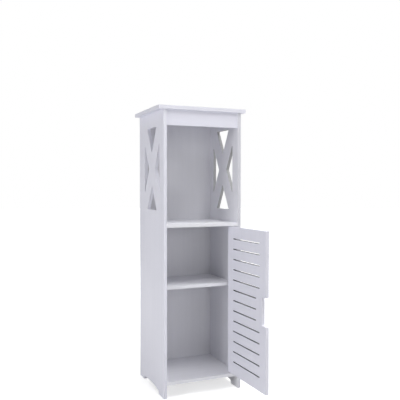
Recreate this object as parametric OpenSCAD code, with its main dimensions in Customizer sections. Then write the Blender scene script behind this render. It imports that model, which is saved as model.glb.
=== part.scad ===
// Narrow bathroom cabinet: open niche with X-lattice sides above a cupboard with a slotted, pin-hung door.
// The front looks towards -Y and +Z is up. The door stands open, a little past a right angle.
// The origin is on the floor, under the middle of the outline with the door open.

/* [Carcass] */
// Width over the side panels
body_w = 233; // [180:1:340]
// Depth of the side panels
body_d = 220; // [180:1:340]
// Height of the whole cabinet
body_h = 800; // [760:1:1100]
// Thickness of the side panels
side_t = 9; // [8:0.5:14]
// Thickness of the shelves and the bottom board
shelf_t = 9; // [8:0.5:16]
// Thickness of the top board
top_t = 10; // [9:0.5:20]
// Overhang of the top board at each side
side_overhang = 15; // [0:1:30]
// Overhang of the top board at the front
front_overhang = 3; // [0:1:30]
// Rounding of the top board's front corners, seen from above
top_corner_r = 2; // [0.5:0.5:8]

/* [Back panel] */
// Thickness of the back panel
back_t = 5; // [3:0.5:9]
// Distance from the side panels' rear edges to the back panel's rear face
back_inset = 19; // [5:1:50]
// Depth of the groove in each side panel that holds the back panel
groove_depth = 3; // [1:0.5:5]

/* [Shelves] */
// Height of the bottom board's underside above the floor
bottom_clear = 36; // [30:1:80]
// Height of the middle shelf's underside above the floor
middle_shelf_z = 293; // [250:1:350]
// Height of the upper shelf's underside above the floor
upper_shelf_z = 468; // [440:1:500]
// Distance of the middle shelf's front edge behind the carcass front
middle_setback = 32; // [26:1:60]
// Width of the notch in the middle shelf's right front corner
shelf_notch_w = 14; // [8:1:30]
// Depth of the notch in the middle shelf's right front corner
shelf_notch_d = 12; // [6:1:30]

/* [Front apron] */
// Height of the apron below the top board
apron_h = 43; // [30:1:60]
// Thickness of the apron
apron_t = 9; // [8:0.5:14]
// Distance of the apron's face behind the carcass front
apron_setback = 3; // [0:0.5:12]

/* [X lattice] */
// Width of each arm of the X
arm_w = 44; // [25:1:55]
// Distance from the panel's front edge to the X opening
window_front = 35.5; // [25:0.5:50]
// Distance from the X opening to the back panel
window_rear = 27; // [15:0.5:40]
// Height of the X opening's lower edge above the upper shelf
window_rise = 36.5; // [20:0.5:60]
// Distance from the X opening's upper edge to the top board
window_top = 41.5; // [35:0.5:60]
// Rounding of the X opening's corners
window_corner_r = 2; // [1:0.5:4]

/* [Feet] */
// Length of the front foot where it meets the floor
front_foot = 43; // [25:1:60]
// Length of the rear foot where it meets the floor
rear_foot = 38; // [25:1:60]
// Height of the shoulder between each foot and the arch
foot_step = 9; // [5:0.5:15]
// Length of the slope from each foot up to its shoulder
foot_slope = 5; // [3:0.5:20]
// Rise of the arch's middle above the shoulders
arch_rise = 4.5; // [2:0.5:12]

/* [Door] */
// Thickness of the door
door_t = 9; // [8:0.5:12]
// Gap between the closed door and the right side panel
hinge_gap = 1.2; // [0.5:0.1:3]
// Gap between the closed door and the left side panel
free_gap = 1.8; // [1:0.1:4]
// Gap above and below the door
door_end_gap = 1.5; // [1.2:0.1:3]
// Distance from the door's hinge edge to the pivot's axis
pivot_inset = 16.5; // [9:0.5:20]
// Angle at which the door stands open, in degrees from its closed place
door_angle = 91.6; // [75:0.1:96]

/* [Door slots and notch] */
// Number of slots
slot_count = 13; // [5:2:17]
// Distance from the door's upper edge to the middle of the top slot
slot_top_margin = 34; // [20:0.5:60]
// Distance from the door's lower edge to the middle of the bottom slot
slot_bottom_margin = 37; // [20:0.5:60]
// Height of each slot
slot_h = 3.4; // [2:0.1:3.8]
// Distance from the hinge edge to the slots
slot_hinge_margin = 36; // [24:0.5:50]
// Distance from the slots to the free edge
slot_free_margin = 31.5; // [15:0.5:35]
// Distance from the slots beside the finger notch to the free edge
slot_notch_margin = 49.5; // [36:0.5:70]
// Height of the finger notch, which is centred on the middle slot
notch_h = 74; // [50:1:80]
// Depth of the finger notch
notch_d = 20; // [15:0.5:28]
// Rounding of the finger notch's corners
notch_corner_r = 3; // [1:0.5:6]

/* [Pivots] */
// Diameter of the pivot pins
pivot_d = 3; // [2.5:0.1:4]
// Length of each pivot pin inside the door
pivot_in_door = 20; // [10:1:30]
// Length of each pivot pin inside its bush
pivot_in_bush = 6; // [4:0.5:6.5]
// Wall of each bush
bush_wall = 0.9; // [0.7:0.1:1.2]
// Diameter of each bush's flange
flange_d = 8; // [6.5:0.5:8.5]
// Thickness of each bush's flange
flange_t = 1.2; // [0.8:0.1:1.2]
// Length of each bush below its flange
bush_l = 6.8; // [5:0.1:7]

/* [Stops and catch] */
// Diameter of the heads of the door stops
stop_d = 8; // [5:0.5:10]
// How far the door stops stand out from the left side panel
stop_reach = 4; // [3:0.5:8]
// Diameter of the stems of the door stops
stop_stem_d = 4; // [3:0.5:5]
// Distance from the door's upper and lower edges to the stops
stop_margin = 60; // [30:1:90]
// Diameter of the magnet and of the steel disc
catch_d = 6; // [4:0.5:6.5]
// Thickness of the magnet and of the steel disc
catch_t = 3; // [2:0.5:4]
// Distance from the door's free edge to the steel disc's centre
catch_margin = 12; // [8:1:30]

/* [Dowels] */
// Diameter of the dowels
dowel_d = 5; // [4:0.5:5.5]
// Length of the dowels
dowel_l = 24; // [18:1:30]
// Length of each dowel inside a side panel or the top board
dowel_bite = 6; // [4:0.5:6.5]
// Distance from the ends of each joint to its dowels
dowel_margin = 32; // [25:1:45]

/* [Fits] */
// Clearance round pieces that are pressed, glued or slid together
seat_gap = 0.05; // [0.02:0.01:0.1]
// Radial clearance of the pins in their bushes
running_gap = 0.05; // [0.02:0.01:0.1]
// Gap between the door and what it closes against
stop_gap = 0.3; // [0.3:0.1:1]
// Clearance at the blind end of each hole
end_gap = 0.5; // [0.3:0.1:1]

/* [Hidden] */
$fn = 48;
arch_fn = 360;
over = 1; // how far a cut runs past the face it opens
lattice_dip = 0.004; // how deep the X opening's straight runs lie in its round corners

board_color = [0.93, 0.93, 0.95];
back_color = [0.88, 0.88, 0.90];
steel_color = [0.72, 0.73, 0.75];
nylon_color = [0.85, 0.85, 0.83];
beech_color = [0.80, 0.66, 0.47];

// Widths and heights of the carcass
inner_w = body_w - 2 * side_t;
side_h = body_h - top_t;
shelf_top = upper_shelf_z + shelf_t;
bottom_top = bottom_clear + shelf_t;

// The closed door, and its pivot
door_w = inner_w - hinge_gap - free_gap;
door_z = bottom_top + door_end_gap;
door_h = upper_shelf_z - door_end_gap - door_z;
pivot_x = inner_w / 2 - hinge_gap - pivot_inset;
door_turn = door_angle - 90;
door_reach = (door_w - pivot_inset) * cos(door_turn) + door_t / 2 * (abs(sin(door_turn)) - 1);
slot_pitch = (door_h - slot_top_margin - slot_bottom_margin) / (slot_count - 1);
notch_mid_z = slot_bottom_margin + slot_pitch * (slot_count - 1) / 2;

// Front of the carcass, so that the outline with the door open is centred on the origin
front_y = (door_reach - body_d) / 2;
rear_y = front_y + body_d;
pivot_y = front_y + door_t / 2;

// Depths inside the carcass
inner_d = body_d - back_inset - back_t;
back_z = bottom_top;
back_h = side_h - back_z;
back_w = inner_w + 2 * (groove_depth - seat_gap);

// Height to which the slopes of the feet are drawn, past the arch that cuts them off
slope_rise = foot_step + 2 * arch_rise;

// X opening, in the side panel's own plane
window_z = shelf_top + window_rise;
window_w = inner_d - window_front - window_rear;
window_h = side_h - window_top - window_z;
window_mid = [window_front + window_w / 2, window_z + window_h / 2];
arm_slope = window_h / window_w;
apex = arm_w / 2 * sqrt(1 + arm_slope * arm_slope);
waist = apex / arm_slope;

// Bores
dowel_hole_r = dowel_d / 2 + seat_gap;
pin_hole_r = pivot_d / 2 + seat_gap;
bush_bore_r = pivot_d / 2 + running_gap;
bush_r = bush_bore_r + bush_wall;
bush_hole_r = bush_r + seat_gap;

// Door stops and catch
stop_y = front_y + door_t + stop_gap + stop_d / 2;
stop_heights = [door_z + stop_margin, door_z + door_h - stop_margin];
stem_hole_r = stop_stem_d / 2 + seat_gap;
catch_reach = door_w - pivot_inset - catch_margin;

// Dowel places: front to back for boards, up and down for the apron
board_dowel_ys = [dowel_margin, inner_d - dowel_margin];
middle_dowel_ys = [middle_setback + dowel_margin, inner_d - dowel_margin];
apron_dowel_y = apron_setback + apron_t / 2;
apron_dowel_zs = [side_h - apron_h * 3 / 4, side_h - apron_h / 4];

// A convex outline with round corners: a circle in each corner, and straight runs from circle to circle. The runs
// lie dip deep in the circles, so that slanting ones cross them cleanly.
module rounded_polygon(points, r, dip = 0) {
    n = len(points);
    corners = [
        for (i = [0:n - 1])
            let (
                u = unit(points[(i + n - 1) % n] - points[i]),
                v = unit(points[(i + 1) % n] - points[i]),
                half = acos(u * v) / 2,
                middle = points[i] + unit(u + v) * r / sin(half),
                from_u = points[i] + u * r / tan(half) - middle,
                from_v = points[i] + v * r / tan(half) - middle
            )
            [middle + from_u * (1 - dip / r), middle + from_v * (1 - dip / r), middle]
    ];
    polygon([for (c = corners) each [c[0], c[1]]]);
    for (c = corners) translate(c[2]) circle(r = r);
}

function unit(v) = v / norm(v);

// Stands a front-to-back outline up at x, with its thickness along +X and its left edge at the carcass front.
module upright(x, thickness) {
    translate([x, front_y, 0]) rotate([90, 0, 90]) linear_extrude(thickness) children();
}

// A hole or a rod along X, from x to x + length, at a depth y behind the carcass front and a height z.
module along_x(x, y, z, length, r) {
    translate([x, front_y + y, z]) rotate([0, 90, 0]) cylinder(h = length, r = r);
}

// The arch under a side panel: a shallow disc, cut off at both ends by the slopes of the feet.
module foot_arch() {
    half_span = (body_d - front_foot - rear_foot) / 2 - foot_slope;
    arch_mid = front_foot + foot_slope + half_span;
    arch_r = (half_span * half_span + arch_rise * arch_rise) / (2 * arch_rise);
    slope_run = foot_slope * slope_rise / foot_step;
    intersection() {
        translate([arch_mid, foot_step + arch_rise - arch_r]) circle(r = arch_r, $fn = arch_fn);
        polygon([
            [front_foot, -over], [front_foot, 0], [front_foot + slope_run, slope_rise],
            [body_d - rear_foot - slope_run, slope_rise], [body_d - rear_foot, 0], [body_d - rear_foot, -over]
        ]);
    }
}

// The four triangles that leave an X between them. Its arms run from corner to corner of the opening.
module lattice_cuts() {
    half_w = window_w / 2;
    half_h = window_h / 2;
    base_half = (half_h - apex) / arm_slope;
    side_half = (half_w - waist) * arm_slope;
    for (s = [-1, 1]) {
        lattice_cut([[0, s * apex], [base_half, s * half_h], [-base_half, s * half_h]]);
        lattice_cut([[s * waist, 0], [s * half_w, side_half], [s * half_w, -side_half]]);
    }
}

// One triangle of the X opening, with its corners counted from the opening's middle.
module lattice_cut(corners) {
    translate(window_mid) rounded_polygon(corners, window_corner_r, lattice_dip);
}

module side_outline() {
    difference() {
        square([body_d, side_h]);
        foot_arch();
        lattice_cuts();
    }
}

// A side panel with its outer face at x_out. Its inner face is on the side that side (1 or -1) points to.
module side_panel(x_out, side) {
    inner_x = x_out + side * side_t;
    groove_y = body_d - back_inset - back_t - seat_gap;
    difference() {
        upright(min(x_out, inner_x), side_t) side_outline();
        // groove for the back panel, open at the top
        translate([inner_x - (side > 0 ? groove_depth : over), front_y + groove_y, back_z])
            cube([groove_depth + over, back_t + 2 * seat_gap, back_h + over]);
        for (y = board_dowel_ys) side_hole(inner_x, side, y, upper_shelf_z + shelf_t / 2);
        for (y = middle_dowel_ys) side_hole(inner_x, side, y, middle_shelf_z + shelf_t / 2);
        for (y = board_dowel_ys) side_hole(inner_x, side, y, bottom_clear + shelf_t / 2);
        for (z = apron_dowel_zs) side_hole(inner_x, side, apron_dowel_y, z);
        for (y = board_dowel_ys) top_edge_hole(inner_x - side * side_t / 2, y);
    }
}

// A blind hole in a side panel's inner face.
module side_hole(inner_x, side, y, z, r = dowel_hole_r) {
    depth = dowel_bite + end_gap;
    along_x(side > 0 ? inner_x - depth : inner_x - over, y, z, depth + over, r);
}

// A blind hole down into a side panel's top edge.
module top_edge_hole(x, y) {
    depth = dowel_l - dowel_bite + end_gap;
    translate([x, front_y + y, side_h - depth]) cylinder(h = depth + over, r = dowel_hole_r);
}

module side_panel_left() {
    color(board_color) difference() {
        side_panel(-body_w / 2, 1);
        for (z = stop_heights) side_hole(-inner_w / 2, 1, stop_y - front_y, z, stem_hole_r);
    }
}

module side_panel_right() {
    color(board_color) side_panel(body_w / 2, -1);
}

module top_board() {
    half_w = body_w / 2 + side_overhang;
    depth = body_d + front_overhang;
    color(board_color) translate([0, rear_y - depth, side_h]) difference() {
        linear_extrude(top_t) {
            translate([-half_w, top_corner_r]) square([2 * half_w, depth - top_corner_r]);
            translate([-half_w + top_corner_r, 0]) square([2 * (half_w - top_corner_r), depth / 2]);
            for (s = [-1, 1]) translate([s * (half_w - top_corner_r), top_corner_r]) circle(r = top_corner_r);
        }
        for (s = [-1, 1], y = board_dowel_ys)
            translate([s * (body_w - side_t) / 2, front_overhang + y, -over])
                cylinder(h = dowel_bite + end_gap + over, r = dowel_hole_r);
    }
}

module front_apron() {
    color(board_color) difference() {
        translate([-inner_w / 2, front_y + apron_setback, side_h - apron_h]) cube([inner_w, apron_t, apron_h]);
        for (z = apron_dowel_zs) board_end_holes(apron_dowel_y, z);
    }
}

// The blind holes in both ends of a board that lies between the side panels.
module board_end_holes(y, z) {
    depth = dowel_l - dowel_bite + end_gap;
    along_x(-inner_w / 2 - over, y, z, depth + over, dowel_hole_r);
    along_x(inner_w / 2 - depth, y, z, depth + over, dowel_hole_r);
}

module back_panel() {
    color(back_color)
        translate([-back_w / 2, front_y + inner_d, back_z]) cube([back_w, back_t, back_h]);
}

// A board between the side panels, from a depth y to y + depth behind the carcass front, with its dowel holes.
module inner_board(y, depth, z, dowel_ys) {
    difference() {
        translate([-inner_w / 2, front_y + y, z]) cube([inner_w, depth, shelf_t]);
        for (dowel_y = dowel_ys) board_end_holes(dowel_y, z + shelf_t / 2);
    }
}

// The hole for a pivot bush, from the face at z, downwards for dir -1 and upwards for dir 1.
module bush_hole(z, dir) {
    depth = bush_l + end_gap;
    translate([pivot_x, pivot_y, dir > 0 ? z - over : z - depth]) cylinder(h = depth + over, r = bush_hole_r);
}

module upper_shelf() {
    color(board_color) difference() {
        inner_board(0, inner_d - seat_gap, upper_shelf_z, board_dowel_ys);
        bush_hole(upper_shelf_z, 1);
        translate([pivot_x - catch_reach, pivot_y, upper_shelf_z - over])
            cylinder(h = catch_t + seat_gap + over, r = catch_d / 2 + seat_gap);
    }
}

module middle_shelf() {
    color(board_color) difference() {
        inner_board(middle_setback, inner_d - seat_gap - middle_setback, middle_shelf_z, middle_dowel_ys);
        translate([inner_w / 2 - shelf_notch_w, front_y + middle_setback - over, middle_shelf_z - over])
            cube([shelf_notch_w + over, shelf_notch_d + over, shelf_t + 2 * over]);
    }
}

// The bottom board runs on under the back panel, which stands on it.
module bottom_board() {
    color(board_color) difference() {
        inner_board(0, inner_d + back_t, bottom_clear, board_dowel_ys);
        bush_hole(bottom_top, -1);
    }
}

// The door's outline with the free edge at the left, as far as its hinge edge starts to round.
module door_outline() {
    notch_low = notch_mid_z - notch_h / 2;
    difference() {
        square([door_w - door_t / 2, door_h]);
        rounded_polygon([
            [notch_d, notch_low], [notch_d, notch_low + notch_h],
            [-notch_d, notch_low + notch_h], [-notch_d, notch_low]
        ], notch_corner_r);
        for (s = [-1, 1]) notch_mouth(notch_mid_z + s * notch_h / 2, s);
        for (i = [0:slot_count - 1]) {
            z = slot_bottom_margin + i * slot_pitch;
            beside_notch = abs(z - notch_mid_z) < notch_h / 2;
            slot(beside_notch ? slot_notch_margin : slot_free_margin, z);
        }
    }
}

// What rounds the free edge's corner above (s = 1) or below (s = -1) the finger notch.
module notch_mouth(z, s) {
    reach = notch_corner_r + over;
    translate([notch_corner_r, z + s * notch_corner_r]) difference() {
        translate([-reach, s > 0 ? -reach : 0]) square(reach);
        circle(r = notch_corner_r);
    }
}

// A slot with round ends, from margin to the hinge side's margin, at a height z.
module slot(margin, z) {
    r = slot_h / 2;
    length = door_w - slot_hinge_margin - margin;
    translate([margin + r, z - r]) square([length - slot_h, slot_h]);
    for (x = [margin + r, margin + length - r]) translate([x, z]) circle(r = r);
}

// Puts what is drawn round the pivot's axis, with the door at a right angle, where the open door stands.
module opened() {
    translate([pivot_x, pivot_y, 0]) rotate([0, 0, door_turn]) children();
}

// The door, with its inner face towards -X. Its hinge edge is round, so that it turns clear of the side panel.
module door() {
    color(board_color) opened() difference() {
        union() {
            translate([-door_t / 2, pivot_inset - door_w, door_z])
                rotate([90, 0, 90]) linear_extrude(door_t) door_outline();
            translate([0, pivot_inset - door_t / 2, door_z]) cylinder(h = door_h, r = door_t / 2);
        }
        for (low = [door_z - over, door_z + door_h - pivot_in_door - end_gap])
            translate([0, 0, low]) cylinder(h = pivot_in_door + end_gap + over, r = pin_hole_r);
        translate([0, -catch_reach, door_z + door_h - catch_t - seat_gap])
            cylinder(h = catch_t + seat_gap + over, r = catch_d / 2 + seat_gap);
    }
}

// A pivot pin with chamfered ends, from the height low, standing partly in the door and partly in its bush.
module pivot_pin(low) {
    length = pivot_in_door + door_end_gap + pivot_in_bush;
    tip = pivot_d / 6;
    color(steel_color) translate([pivot_x, pivot_y, low]) rotate_extrude() polygon([
        [0, 0], [pivot_d / 2 - tip, 0], [pivot_d / 2, tip],
        [pivot_d / 2, length - tip], [pivot_d / 2 - tip, length], [0, length]
    ]);
}

module upper_pivot_pin() {
    pivot_pin(door_z + door_h - pivot_in_door);
}

module lower_pivot_pin() {
    pivot_pin(bottom_top - pivot_in_bush);
}

// A flanged bush, with its flange from 0 up to flange_t and its tube below.
module pivot_bush() {
    color(nylon_color) rotate_extrude() polygon([
        [bush_bore_r, -bush_l], [bush_r, -bush_l], [bush_r, 0],
        [flange_d / 2, 0], [flange_d / 2, flange_t], [bush_bore_r, flange_t]
    ]);
}

module upper_pivot_bush() {
    translate([pivot_x, pivot_y, upper_shelf_z]) mirror([0, 0, 1]) pivot_bush();
}

module lower_pivot_bush() {
    translate([pivot_x, pivot_y, bottom_top]) pivot_bush();
}

// The door's stops: a head against the left panel's inner face, and a stem in the panel.
module door_stop_pins() {
    color(nylon_color) for (z = stop_heights) {
        along_x(-inner_w / 2, stop_y - front_y, z, stop_reach, stop_d / 2);
        along_x(-inner_w / 2 - dowel_bite, stop_y - front_y, z, dowel_bite + over, stop_stem_d / 2);
    }
}

module catch_magnet() {
    color(steel_color) translate([pivot_x - catch_reach, pivot_y, upper_shelf_z])
        cylinder(h = catch_t, r = catch_d / 2);
}

module catch_disc() {
    color(steel_color) opened() translate([0, -catch_reach, door_z + door_h - catch_t])
        cylinder(h = catch_t, r = catch_d / 2);
}

// A pair of dowels, one in each end of a board between the side panels.
module end_dowels(y, z) {
    for (x = [-inner_w / 2 - dowel_bite, inner_w / 2 + dowel_bite - dowel_l])
        along_x(x, y, z, dowel_l, dowel_d / 2);
}

module top_board_dowels() {
    color(beech_color) for (s = [-1, 1], y = board_dowel_ys)
        translate([s * (body_w - side_t) / 2, front_y + y, side_h + dowel_bite - dowel_l])
            cylinder(h = dowel_l, r = dowel_d / 2);
}

module apron_dowels() {
    color(beech_color) for (z = apron_dowel_zs) end_dowels(apron_dowel_y, z);
}

module upper_shelf_dowels() {
    color(beech_color) for (y = board_dowel_ys) end_dowels(y, upper_shelf_z + shelf_t / 2);
}

module middle_shelf_dowels() {
    color(beech_color) for (y = middle_dowel_ys) end_dowels(y, middle_shelf_z + shelf_t / 2);
}

module bottom_board_dowels() {
    color(beech_color) for (y = board_dowel_ys) end_dowels(y, bottom_clear + shelf_t / 2);
}

side_panel_left();
side_panel_right();
top_board();
front_apron();
back_panel();
upper_shelf();
middle_shelf();
bottom_board();
door();
upper_pivot_pin();
lower_pivot_pin();
upper_pivot_bush();
lower_pivot_bush();
door_stop_pins();
catch_magnet();
catch_disc();
top_board_dowels();
apron_dowels();
upper_shelf_dowels();
middle_shelf_dowels();
bottom_board_dowels();
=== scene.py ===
from math import cos, radians, sin

import bmesh
import bpy
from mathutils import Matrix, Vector


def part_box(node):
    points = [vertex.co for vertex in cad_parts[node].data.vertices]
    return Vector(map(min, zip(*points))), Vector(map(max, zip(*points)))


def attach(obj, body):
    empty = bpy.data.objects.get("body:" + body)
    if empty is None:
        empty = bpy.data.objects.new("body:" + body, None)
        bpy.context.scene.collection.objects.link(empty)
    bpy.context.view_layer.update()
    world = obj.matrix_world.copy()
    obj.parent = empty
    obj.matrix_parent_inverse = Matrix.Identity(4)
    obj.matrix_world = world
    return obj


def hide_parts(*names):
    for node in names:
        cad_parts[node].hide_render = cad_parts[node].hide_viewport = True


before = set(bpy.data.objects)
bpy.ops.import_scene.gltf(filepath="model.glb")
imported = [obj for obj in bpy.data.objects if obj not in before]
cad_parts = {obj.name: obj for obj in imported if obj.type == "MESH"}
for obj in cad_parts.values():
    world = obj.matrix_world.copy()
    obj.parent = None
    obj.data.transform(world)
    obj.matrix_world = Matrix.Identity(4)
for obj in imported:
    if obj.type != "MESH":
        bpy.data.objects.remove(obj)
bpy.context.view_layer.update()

# Camera, fitted to the board edges in the photograph: yaw to the right and pitch downwards, in degrees
CAMERA_AT = (-0.61433, -1.43969, 0.57707)
CAMERA_YAW = 22.976
CAMERA_PITCH = 1.273
LENS_MM = 50.209
SENSOR_MM = 36

# Easing of the edges: widths, steps across each, and the shape of its round (0.5 is a circle's)
BOARD_EASE = 0.0006
HARDWARE_EASE = 0.00025
EASE_STEPS = 2
EASE_PROFILE = 0.6

# A true edge turns by more than EDGE_ANGLE. Faces that turn by less than FLAT_ANGLE are one flat stretch.
EDGE_ANGLE = radians(30)
FLAT_ANGLE = radians(0.5)

# Corners closer than this are one corner
WELD = 1e-6

# A face lies across an axis when its normal has more than this along the axis
ACROSS = 0.9

# The door's slots lie inside these margins of its box
SLOT_FREE_SIDE = 0.026
SLOT_HINGE_SIDE = 0.022
SLOT_ENDS = 0.02

# Walls of a side panel's X opening and foot arch lie further than this from its front, rear and top
OPENING_MARGIN = 0.012

# Colours, as linear values: the plain one, and the one it drifts to
BOARD = ((0.81, 0.81, 0.90, 1), (0.77, 0.77, 0.86, 1))
DOOR = ((0.84, 0.84, 0.93, 1), (0.81, 0.81, 0.90, 1))
# Inner faces of the side panels and both faces of the bottom board: darker and greyer than BOARD, painted
# shade of the cupboard's inside
INNER_PAINTED_SHADE = ((0.78, 0.78, 0.825, 1), (0.74, 0.74, 0.785, 1))
# Back panel: darker still, painted shade at the back of the cupboard
BACK_PAINTED_SHADE = ((0.74, 0.74, 0.78, 1), (0.70, 0.70, 0.74, 1))
CUT = ((0.80, 0.80, 0.88, 1), (0.77, 0.77, 0.85, 1))
# Cut edges of the back panel and the right side panel: darker than CUT, painted shade
INNER_CUT_PAINTED_SHADE = ((0.67, 0.67, 0.725, 1), (0.64, 0.64, 0.69, 1))
# Eased rims: darker than BOARD, painted shade that tones down their highlight
EASED_PAINTED_SHADE = ((0.77, 0.77, 0.83, 1), (0.73, 0.73, 0.79, 1))
# Shelves, and the bottom board's cut edges: lighter than BOARD, painted light on the shelves
SHELF_PAINTED_LIGHT = ((0.85, 0.85, 0.89, 1), (0.82, 0.82, 0.86, 1))
# Walls of the right side panel's X opening and foot arch: dark grey, painted shade
LATTICE_PAINTED_SHADE = ((0.46, 0.46, 0.47, 1), (0.41, 0.41, 0.42, 1))
# Walls of the door's slots: near black, painted shade inside the slots
SLOT_PAINTED_SHADE = ((0.18, 0.18, 0.215, 1), (0.15, 0.15, 0.18, 1))
NYLON = ((0.72, 0.72, 0.69, 1), (0.66, 0.66, 0.62, 1))
STEEL = ((0.56, 0.57, 0.58, 1), (0.42, 0.43, 0.44, 1))
NICKEL = ((0.66, 0.65, 0.62, 1), (0.54, 0.53, 0.50, 1))
BEECH = ((0.56, 0.38, 0.20, 1), (0.42, 0.26, 0.125, 1))

# Gloss of the boards: refraction, and roughness of cut edges and of the openings' walls
BOARD_IOR = 1.46
CUT_ROUGHNESS = (0.5, 0.62)
WALL_ROUGHNESS = (0.6, 0.72)

# Most values of a noise lie between these
NOISE_RANGE = (0.3, 0.7)


class Finish:
    """A material under construction: its nodes, and short ways to add and join them."""

    def __init__(self, name):
        self.material = bpy.data.materials.new(name)
        self.material.use_nodes = True
        self.tree = self.material.node_tree
        self.shader = self.tree.nodes["Principled BSDF"]
        self.place = self.add("ShaderNodeTexCoord").outputs["Object"]

    def add(self, kind, **settings):
        made = self.tree.nodes.new(kind)
        for key, value in settings.items():
            setattr(made, key, value)
        return made

    def join(self, source, target):
        self.tree.links.new(source, target)

    def set(self, **values):
        """Uniform values of the shader, by socket name with _ for a space."""
        for key, value in values.items():
            self.shader.inputs[key.replace("_", " ")].default_value = value

    def noise(self, per_metre, detail):
        """Noise with per_metre = features per metre along X, Y and Z."""
        mapping = self.add("ShaderNodeMapping")
        mapping.inputs["Scale"].default_value = per_metre
        self.join(self.place, mapping.inputs["Vector"])
        made = self.add("ShaderNodeTexNoise")
        made.inputs["Scale"].default_value = 1.0
        made.inputs["Detail"].default_value = detail
        self.join(mapping.outputs["Vector"], made.inputs["Vector"])
        return made.outputs["Fac"]

    def ranged(self, source, low, high, to_low=0.0, to_high=1.0):
        """Runs from to_low to to_high as source goes from low to high, and no further."""
        made = self.add("ShaderNodeMapRange")
        settings = {"From Min": low, "From Max": high, "To Min": to_low, "To Max": to_high}
        for key, value in settings.items():
            made.inputs[key].default_value = value
        self.join(source, made.inputs["Value"])
        return made.outputs["Result"]

    def blend(self, a, b, share):
        """share of b and the rest of a."""
        made = self.add("ShaderNodeMix", data_type="FLOAT")
        made.inputs["Factor"].default_value = share
        self.join(a, made.inputs["A"])
        self.join(b, made.inputs["B"])
        return made.outputs["Result"]

    def colour(self, drift, colours):
        """Base colour that runs from the first colour to the second as drift goes from 0 to 1."""
        ramp = self.add("ShaderNodeValToRGB")
        for stop, value in zip(ramp.color_ramp.elements, colours):
            stop.color = value
        self.join(drift, ramp.inputs["Fac"])
        self.join(ramp.outputs["Color"], self.shader.inputs["Base Color"])

    def bump(self, height, strength, distance):
        made = self.add("ShaderNodeBump")
        made.inputs["Strength"].default_value = strength
        made.inputs["Distance"].default_value = distance
        self.join(height, made.inputs["Height"])
        self.join(made.outputs["Normal"], self.shader.inputs["Normal"])

    def roughness(self, source, low, high):
        """Roughness that runs from low to high with a noise."""
        self.join(self.ranged(source, *NOISE_RANGE, low, high), self.shader.inputs["Roughness"])


def along(axis, length_rate, cross_rate):
    """Features per metre for a grain that runs along X, Y or Z (0, 1 or 2)."""
    return [length_rate if i == axis else cross_rate for i in range(3)]


def board_finish(name, colours, grain_axis):
    """Satin board with a fine wood-grain emboss: broad soft bands, thin streaks and short pores."""
    finish = Finish(name)
    bands = finish.noise(along(grain_axis, 2.5, 70), detail=3)
    streaks = finish.noise(along(grain_axis, 28, 950), detail=3)
    specks = finish.noise(along(grain_axis, 90, 1500), detail=1)
    pores = finish.ranged(specks, 0.56, 0.66, to_low=1, to_high=0)
    clouds = finish.noise((5, 5, 5), detail=2)
    tone = finish.blend(finish.blend(bands, streaks, 0.35), clouds, 0.35)
    finish.colour(finish.ranged(tone, 0.36, 0.66), colours)
    finish.roughness(finish.blend(streaks, clouds, 0.5), 0.40, 0.54)
    finish.bump(finish.blend(streaks, pores, 0.55), strength=0.22, distance=0.00025)
    finish.set(IOR=BOARD_IOR)
    return finish.material


def cut_finish(name, colours, rough=CUT_ROUGHNESS):
    """Sawn and sanded edge of the foamed board: no emboss, only its fine cells."""
    finish = Finish(name)
    cells = finish.noise((2200, 2200, 2200), detail=2)
    drift = finish.noise((22, 22, 22), detail=3)
    finish.colour(finish.ranged(drift, 0.35, 0.68), colours)
    finish.roughness(cells, *rough)
    finish.bump(cells, strength=0.18, distance=0.00012)
    finish.set(IOR=BOARD_IOR)
    return finish.material


def eased_finish():
    """The rounded-over rim of each board: darker than its faces, painted shade that tones down the rims'
    highlight, and rubbed smoother in patches.
    """
    finish = Finish("eased_shaded_edge")
    rubs = finish.noise((45, 45, 45), detail=4)
    specks = finish.noise((900, 900, 900), detail=1)
    finish.colour(finish.ranged(rubs, 0.40, 0.62), EASED_PAINTED_SHADE)
    finish.roughness(finish.blend(rubs, specks, 0.4), 0.30, 0.46)
    finish.bump(specks, strength=0.10, distance=0.0001)
    finish.set(IOR=BOARD_IOR)
    return finish.material


def nylon_finish():
    finish = Finish("nylon")
    drift = finish.noise((160, 160, 160), detail=3)
    flow = finish.noise((1800, 500, 500), detail=2)
    finish.colour(finish.ranged(drift, 0.38, 0.65), NYLON)
    finish.roughness(flow, 0.36, 0.5)
    finish.bump(flow, strength=0.12, distance=0.0001)
    finish.set(Subsurface_Weight=0.2, Subsurface_Scale=0.002, IOR=1.53)
    return finish.material


def metal_finish(name, colours, brush, rough):
    """Plated metal: brush = features per metre of its turning marks."""
    finish = Finish(name)
    marks = finish.noise(brush, detail=3)
    stains = finish.noise((220, 220, 220), detail=4)
    finish.colour(finish.ranged(stains, 0.42, 0.66), colours)
    finish.roughness(finish.blend(marks, stains, 0.5), *rough)
    finish.bump(marks, strength=0.15, distance=0.00005)
    finish.set(Metallic=1.0)
    return finish.material


def beech_finish():
    finish = Finish("beech")
    fibres = finish.noise((180, 1400, 1400), detail=3)
    flecks = finish.ranged(finish.noise((500, 2400, 2400), detail=1), 0.58, 0.68)
    finish.colour(finish.ranged(finish.blend(fibres, flecks, 0.4), 0.25, 0.62), BEECH)
    finish.roughness(fibres, 0.55, 0.72)
    finish.bump(fibres, strength=0.3, distance=0.0002)
    return finish.material


X, Y, Z = 0, 1, 2
board_x = board_finish("white_board_x", BOARD, X)
board_z = board_finish("white_board_z", BOARD, Z)
# Inner boards: painted shade of the cupboard's inside
inner_shaded_x = board_finish("inner_shaded_board_x", INNER_PAINTED_SHADE, X)
inner_shaded_z = board_finish("inner_shaded_board_z", INNER_PAINTED_SHADE, Z)
# Shelves: painted light
shelf_lit_x = board_finish("shelf_lit_board_x", SHELF_PAINTED_LIGHT, X)
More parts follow.
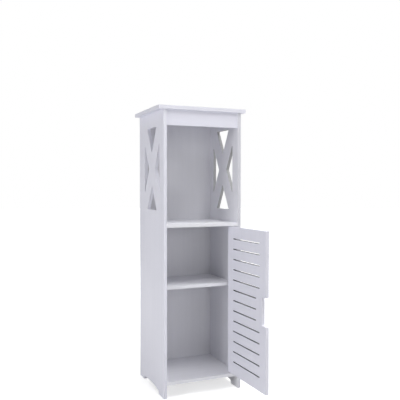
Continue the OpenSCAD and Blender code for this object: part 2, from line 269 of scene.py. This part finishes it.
# Back panel: painted shade
back_shaded_z = board_finish("back_shaded_board_z", BACK_PAINTED_SHADE, Z)
door_z = board_finish("door_board_z", DOOR, Z)
cut = cut_finish("cut_edge", CUT)
# Inner cut edges: painted shade
inner_cut_shaded = cut_finish("inner_cut_shaded_edge", INNER_CUT_PAINTED_SHADE)
shelf_cut_lit = cut_finish("shelf_lit_cut_edge", SHELF_PAINTED_LIGHT)
# Dark opening walls of the right side panel: painted shade
lattice_wall_painted_shade = cut_finish("lattice_wall_painted_shade", LATTICE_PAINTED_SHADE, WALL_ROUGHNESS)
# Dark slot walls: painted shade
slot_wall_painted_shade = cut_finish("slot_wall_painted_shade", SLOT_PAINTED_SHADE, WALL_ROUGHNESS)
eased_shaded = eased_finish()
nylon = nylon_finish()
steel = metal_finish("zinc_steel", STEEL, (300, 300, 2600), (0.28, 0.42))
nickel = metal_finish("nickel_magnet", NICKEL, (900, 900, 900), (0.14, 0.26))
beech = beech_finish()

# Places of the finishes in a piece's list of materials
FACE, CUT_EDGE, EASED_EDGE, OPENING_WALL, OUTSIDE = range(5)


def welded(source):
    """A mesh in edit form, with the frame's split corners joined and its flat stretches made whole."""
    mesh = bmesh.new()
    mesh.from_mesh(source.data)
    bmesh.ops.remove_doubles(mesh, verts=mesh.verts, dist=WELD)
    bmesh.ops.dissolve_limit(mesh, angle_limit=FLAT_ANGLE, verts=mesh.verts, edges=mesh.edges)
    mesh.normal_update()
    return mesh


def ease(mesh, width):
    """Rounds over every true edge; the new faces get the eased finish."""
    edges = [e for e in mesh.edges if e.is_manifold and e.calc_face_angle() > EDGE_ANGLE]
    bmesh.ops.bevel(
        mesh, geom=edges, offset=width, offset_type="OFFSET", segments=EASE_STEPS, profile=EASE_PROFILE,
        affect="EDGES", clamp_overlap=True, material=EASED_EDGE
    )


def dressed(node, body, slot, finishes, finish_of, width=BOARD_EASE):
    """Puts a finished copy in place of a CAD node. finish_of(face) says which finish a face gets."""
    mesh = welded(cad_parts[node])
    for face in mesh.faces:
        face.material_index = finish_of(face)
    ease(mesh, width)
    data = bpy.data.meshes.new(node + "_dressed")
    mesh.to_mesh(data)
    mesh.free()
    # Normals stored for the CAD mesh don't fit the eased one
    custom = data.attributes.get("custom_normal")
    if custom:
        data.attributes.remove(custom)
    data.set_sharp_from_angle(angle=EDGE_ANGLE)
    for finish in finishes:
        data.materials.append(finish)
    piece = bpy.data.objects.new(node + "_dressed", data)
    bpy.context.scene.collection.objects.link(piece)
    normals = piece.modifiers.new("normals", "WEIGHTED_NORMAL")
    normals.keep_sharp = True
    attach(piece, body)
    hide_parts(node)


def by_thickness(axis):
    """Finishes of a board that is thin along axis: its two faces, and its cut edges."""
    return lambda face: FACE if abs(face.normal[axis]) > ACROSS else CUT_EDGE


def door_finish(face):
    """Slot walls lie inside the door's outline; its outer edges and the finger notch are plain cut edges."""
    if abs(face.normal.x) > ACROSS:
        return FACE
    low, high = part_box("door")
    centre = face.calc_center_median()
    inside_y = low.y + SLOT_FREE_SIDE < centre.y < high.y - SLOT_HINGE_SIDE
    inside_z = low.z + SLOT_ENDS < centre.z < high.z - SLOT_ENDS
    return OPENING_WALL if inside_y and inside_z else CUT_EDGE


def side_panel_finish(node, outward):
    """Finishes of a side panel whose outer face looks along outward (-1 or 1) in X. Walls of its X opening
    and foot arch lie away from its front, rear and top edges."""
    low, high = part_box(node)

    def finish_of(face):
        if abs(face.normal.x) > ACROSS:
            return OUTSIDE if face.normal.x * outward > 0 else FACE
        centre = face.calc_center_median()
        inside_y = low.y + OPENING_MARGIN < centre.y < high.y - OPENING_MARGIN
        return OPENING_WALL if inside_y and centre.z < high.z - OPENING_MARGIN else CUT_EDGE

    return finish_of


# Plain boards: node, thickness axis, and finishes of its faces and cut edges
BOARDS = [
    ("top_board", Z, board_x, cut), ("front_apron", Y, board_x, cut), ("upper_shelf", Z, shelf_lit_x, shelf_cut_lit),
    ("middle_shelf", Z, shelf_lit_x, shelf_cut_lit), ("bottom_board", Z, inner_shaded_x, shelf_cut_lit)
]
for board, axis, face_finish, cut_edge in BOARDS:
    dressed(board, "carcass", "white_board", [face_finish, cut_edge, eased_shaded], by_thickness(axis))
dressed("back_panel", "carcass", "back_board", [back_shaded_z, inner_cut_shaded, eased_shaded], by_thickness(Y))

# Side panels: node, the side it faces, and finishes of its cut edges and its openings' walls. The right
# one's cut edges and the walls of its X opening and foot arch are darker: painted shade.
SIDE_PANELS = [("side_panel_left", -1, cut, cut), ("side_panel_right", 1, inner_cut_shaded, lattice_wall_painted_shade)]
for panel, outward, cut_edge, wall in SIDE_PANELS:
    finishes = [inner_shaded_z, cut_edge, eased_shaded, wall, board_z]
    dressed(panel, "carcass", "white_board", finishes, side_panel_finish(panel, outward))

dressed("door", "door", "door_board", [door_z, cut, eased_shaded, slot_wall_painted_shade], door_finish)

# Hardware: node, body, record slot, and the one finish of its faces, cut edges and eased edges
HARDWARE = [
    ("upper_pivot_pin", "door", "steel", steel), ("lower_pivot_pin", "door", "steel", steel),
    ("catch_disc", "door", "steel", steel), ("catch_magnet", "carcass", "magnet", nickel),
    ("upper_pivot_bush", "carcass", "nylon", nylon), ("lower_pivot_bush", "carcass", "nylon", nylon),
    ("door_stop_pins", "carcass", "nylon", nylon)
]
for part, body, slot, finish in HARDWARE:
    dressed(part, body, slot, [finish] * 3, lambda face: FACE, HARDWARE_EASE)

# Dowels lie wholly inside the boards, so they keep their own solids
DOWELS = ["top_board", "apron", "upper_shelf", "middle_shelf", "bottom_board"]
for joint in DOWELS:
    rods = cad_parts[joint + "_dowels"]
    rods.data.materials.clear()
    rods.data.materials.append(beech)


# Studio: a pale floor and a white surround. To the camera and in reflections the floor is lifted towards
# white, and more so with the distance from the cabinet, so that its shadow shows and its horizon doesn't.
WHITE = (1, 1, 1, 1)
FLOOR_RADIUS = 14
FLOOR_SIDES = 96
FLOOR_TONE = (0.72, 0.72, 0.72, 1)
FLOOR_ROUGHNESS = 0.9

# The lift runs from the first to the second of FLOOR_LIFT between these distances
FLOOR_FADE = (0.4, 1.8)
FLOOR_LIFT = (0.6, 1.0)

# Strength of the surround as light on the object
AMBIENT = 0.1

# Square softboxes, all at one distance from the point they are aimed at, the cabinet's middle
LOOK_AT = Vector((0, 0, 0.4))
LAMP_DISTANCE = 2.8
LAMP_SIZE = 1.3

# Their names, azimuths and elevations in degrees, and watts
LAMPS = [
    ("high_front_softbox", 0, 65, 30), ("low_front_softbox", 0, 8, 11), ("left_softbox", 73, 11, 29),
    ("high_right_softbox", -61, 60, 40), ("rear_softbox", -150, 22, 30)
]


def seen_directly(tree):
    """1 for camera, glossy and transmission rays, and 0 for those that light the object."""
    path = tree.nodes.new("ShaderNodeLightPath")
    total = path.outputs["Is Camera Ray"]
    for kind in ("Is Glossy Ray", "Is Transmission Ray"):
        add = tree.nodes.new("ShaderNodeMath")
        add.operation = "MAXIMUM"
        tree.links.new(total, add.inputs[0])
        tree.links.new(path.outputs[kind], add.inputs[1])
        total = add.outputs["Value"]
    return total


def white_world():
    world = bpy.data.worlds.new("studio")
    world.use_nodes = True
    tree = world.node_tree
    level = tree.nodes.new("ShaderNodeMapRange")
    level.inputs["To Min"].default_value = AMBIENT
    level.inputs["To Max"].default_value = 1.0
    tree.links.new(seen_directly(tree), level.inputs["Value"])
    background = tree.nodes["Background"]
    background.inputs["Color"].default_value = WHITE
    tree.links.new(level.outputs["Result"], background.inputs["Strength"])
    bpy.context.scene.world = world


def pale_floor():
    data = bpy.data.meshes.new("floor")
    mesh = bmesh.new()
    bmesh.ops.create_circle(mesh, cap_ends=True, radius=FLOOR_RADIUS, segments=FLOOR_SIDES)
    mesh.to_mesh(data)
    mesh.free()
    floor = bpy.data.objects.new("floor", data)
    bpy.context.scene.collection.objects.link(floor)
    finish = Finish("floor")
    finish.set(Base_Color=FLOOR_TONE, Roughness=FLOOR_ROUGHNESS, Emission_Color=WHITE)
    distance = finish.add("ShaderNodeVectorMath", operation="LENGTH")
    finish.join(finish.place, distance.inputs[0])
    lift = finish.ranged(distance.outputs["Value"], *FLOOR_FADE, *FLOOR_LIFT)
    seen = finish.add("ShaderNodeMath", operation="MULTIPLY")
    finish.join(lift, seen.inputs[0])
    finish.join(seen_directly(finish.tree), seen.inputs[1])
    finish.join(seen.outputs["Value"], finish.shader.inputs["Emission Strength"])
    data.materials.append(finish.material)


def soft_lamp(name, azimuth, elevation, watts):
    """A softbox that stands azimuth degrees to the left of the front and elevation degrees above LOOK_AT."""
    turn, rise = radians(azimuth), radians(elevation)
    away = Vector((-sin(turn) * cos(rise), -cos(turn) * cos(rise), sin(rise)))
    lamp = bpy.data.lights.new(name, "AREA")
    lamp.shape = "SQUARE"
    lamp.size = LAMP_SIZE
    lamp.energy = watts
    holder = bpy.data.objects.new(name, lamp)
    holder.location = LOOK_AT + away * LAMP_DISTANCE
    holder.rotation_euler = (-away).to_track_quat("-Z", "Y").to_euler()
    bpy.context.scene.collection.objects.link(holder)


def photo_camera():
    """The camera in the photograph's place."""
    camera_data = bpy.data.cameras.new("photo_view")
    camera_data.lens = LENS_MM
    camera_data.sensor_width = SENSOR_MM
    camera = bpy.data.objects.new("photo_view", camera_data)
    camera.location = CAMERA_AT
    camera.rotation_euler = (radians(90 - CAMERA_PITCH), 0, radians(-CAMERA_YAW))
    bpy.context.scene.collection.objects.link(camera)
    bpy.context.scene.camera = camera


white_world()
pale_floor()
for lamp in LAMPS:
    soft_lamp(*lamp)
photo_camera()
bpy.context.scene.view_settings.view_transform = "Standard"

bpy.context.view_layer.update()
